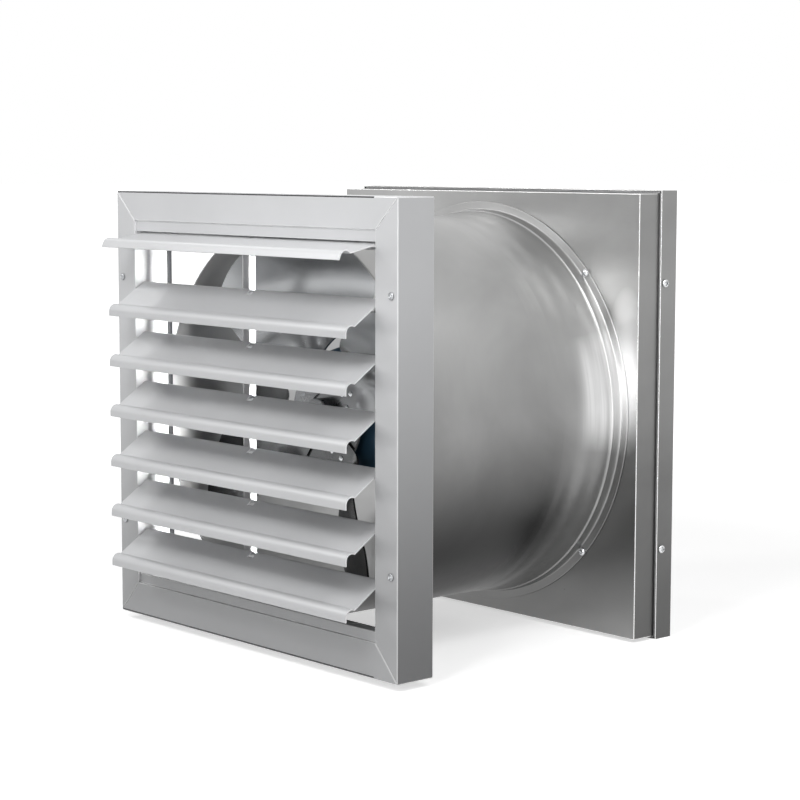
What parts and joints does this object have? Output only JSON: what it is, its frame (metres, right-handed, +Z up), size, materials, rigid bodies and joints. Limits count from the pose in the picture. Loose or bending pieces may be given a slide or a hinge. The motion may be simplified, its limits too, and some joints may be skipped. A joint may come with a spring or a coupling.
{
  "type": "window exhaust fan",
  "caption": "Through-wall window exhaust fan with a linked louvre shutter, round duct, blue motor with impeller and a two-tray room panel.",
  "frame": {"origin": "centre of the bounding box in plan, at the level that the room panel stands on", "axes": "+X to the right as seen from outside, +Y from the shutter through the wall into the room, +Z up"},
  "size_m": [0.4174, 0.3774, 0.412],
  "materials": {
    "frame": "satin silver-grey enamel over folded sheet",
    "louvre": "satin grey enamel on thin sheet",
    "link": "bright formed channel",
    "duct": "satin rolled stainless sheet",
    "tray": "satin stainless sheet with fine brushing",
    "screw": "bright plated head",
    "motor": "dark blue enamel",
    "core": "varnished lamination stack",
    "steel": "machined and plated steel",
    "blade": "pressed sheet with a slight blue tint",
    "plastic": "black moulded plastic",
    "wire": "bright zinc-plated wire"
  },
  "bodies": {
    "housing": {"frame_top_rail": "frame", "frame_bottom_rail": "frame", "frame_left_stile": "frame", "frame_right_stile": "frame", "corner_key_upper_left": "steel", "corner_key_upper_right": "steel", "corner_key_lower_left": "steel", "corner_key_lower_right": "steel", "stile_rivet_upper_left": "screw", "stile_rivet_upper_right": "screw", "stile_rivet_lower_left": "screw", "stile_rivet_lower_right": "screw", "duct_tube": "duct", "flange_ring": "duct", "ring_screw_upper_left": "screw", "ring_screw_upper_right": "screw", "ring_screw_lower_left": "screw", "ring_screw_lower_right": "screw", "wall_tray": "tray", "room_tray": "tray", "side_screw_upper_left": "screw", "side_screw_upper_right": "screw", "side_screw_lower_left": "screw", "side_screw_lower_right": "screw", "duct_lug_upper": "steel", "duct_lug_lower": "steel", "motor_body": "motor", "motor_front_bell": "motor", "motor_rear_bell": "motor", "stator_core": "core", "front_bearing": "steel", "rear_bearing": "steel", "terminal_box": "plastic", "terminal_box_cover": "plastic", "cable_gland": "plastic", "motor_bracket": "steel", "room_guard": "wire"},
    "impeller": {"motor_shaft": "steel", "rotor_core": "core", "fan_hub": "blade", "fan_blade_1": "blade", "fan_blade_2": "blade", "fan_blade_3": "blade", "fan_blade_4": "blade", "hub_nut": "steel"},
    "linkage": {"tie_bar": "link"},
    "louvre_1": {"louvre_blade_1": "louvre", "pivot_rod_1": "steel"},
    "louvre_2": {"louvre_blade_2": "louvre", "pivot_rod_2": "steel"},
    "louvre_3": {"louvre_blade_3": "louvre", "pivot_rod_3": "steel"},
    "louvre_4": {"louvre_blade_4": "louvre", "pivot_rod_4": "steel"},
    "louvre_5": {"louvre_blade_5": "louvre", "pivot_rod_5": "steel"},
    "louvre_6": {"louvre_blade_6": "louvre", "pivot_rod_6": "steel"},
    "louvre_7": {"louvre_blade_7": "louvre", "pivot_rod_7": "steel"}
  },
  "joints": [
    {"name": "louvre_1_pivot", "type": "hinge", "parent": "housing", "child": "louvre_1", "pos_m": [0, -0.14074, 0.3682], "axis": [-1, 0, 0], "range_deg": [-66, 6]},
    {"name": "louvre_2_pivot", "type": "hinge", "parent": "housing", "child": "louvre_2", "pos_m": [0, -0.14074, 0.32113], "axis": [-1, 0, 0], "range_deg": [-44, 4]},
    {"name": "louvre_3_pivot", "type": "hinge", "parent": "housing", "child": "louvre_3", "pos_m": [0, -0.14074, 0.27407], "axis": [-1, 0, 0], "range_deg": [-44, 4]},
    {"name": "louvre_4_pivot", "type": "hinge", "parent": "housing", "child": "louvre_4", "pos_m": [0, -0.14074, 0.227], "axis": [-1, 0, 0], "range_deg": [-44, 4]},
    {"name": "louvre_5_pivot", "type": "hinge", "parent": "housing", "child": "louvre_5", "pos_m": [0, -0.14074, 0.17993], "axis": [-1, 0, 0], "range_deg": [-44, 4]},
    {"name": "louvre_6_pivot", "type": "hinge", "parent": "housing", "child": "louvre_6", "pos_m": [0, -0.14074, 0.13287], "axis": [-1, 0, 0], "range_deg": [-44, 4]},
    {"name": "louvre_7_pivot", "type": "hinge", "parent": "housing", "child": "louvre_7", "pos_m": [0, -0.14074, 0.0858], "axis": [-1, 0, 0], "range_deg": [-44, 4]},
    {"name": "linkage_pin", "type": "hinge", "parent": "louvre_4", "child": "linkage", "pos_m": [-0.025, -0.12986, 0.22193], "axis": [1, 0, 0], "range_deg": [-44, 4]},
    {"name": "impeller_spin", "type": "hinge", "parent": "housing", "child": "impeller", "pos_m": [0, -0.06074, 0.206], "axis": [0, 1, 0], "continuous": true}
  ],
  "couplings": [
    {"joint": "louvre_1_pivot", "follows": "louvre_4_pivot", "ratio": 1.5},
    {"joint": "louvre_2_pivot", "follows": "louvre_4_pivot", "ratio": 1},
    {"joint": "louvre_3_pivot", "follows": "louvre_4_pivot", "ratio": 1},
    {"joint": "louvre_5_pivot", "follows": "louvre_4_pivot", "ratio": 1},
    {"joint": "louvre_6_pivot", "follows": "louvre_4_pivot", "ratio": 1},
    {"joint": "louvre_7_pivot", "follows": "louvre_4_pivot", "ratio": 1},
    {"joint": "linkage_pin", "follows": "louvre_4_pivot", "ratio": 1}
  ]
}
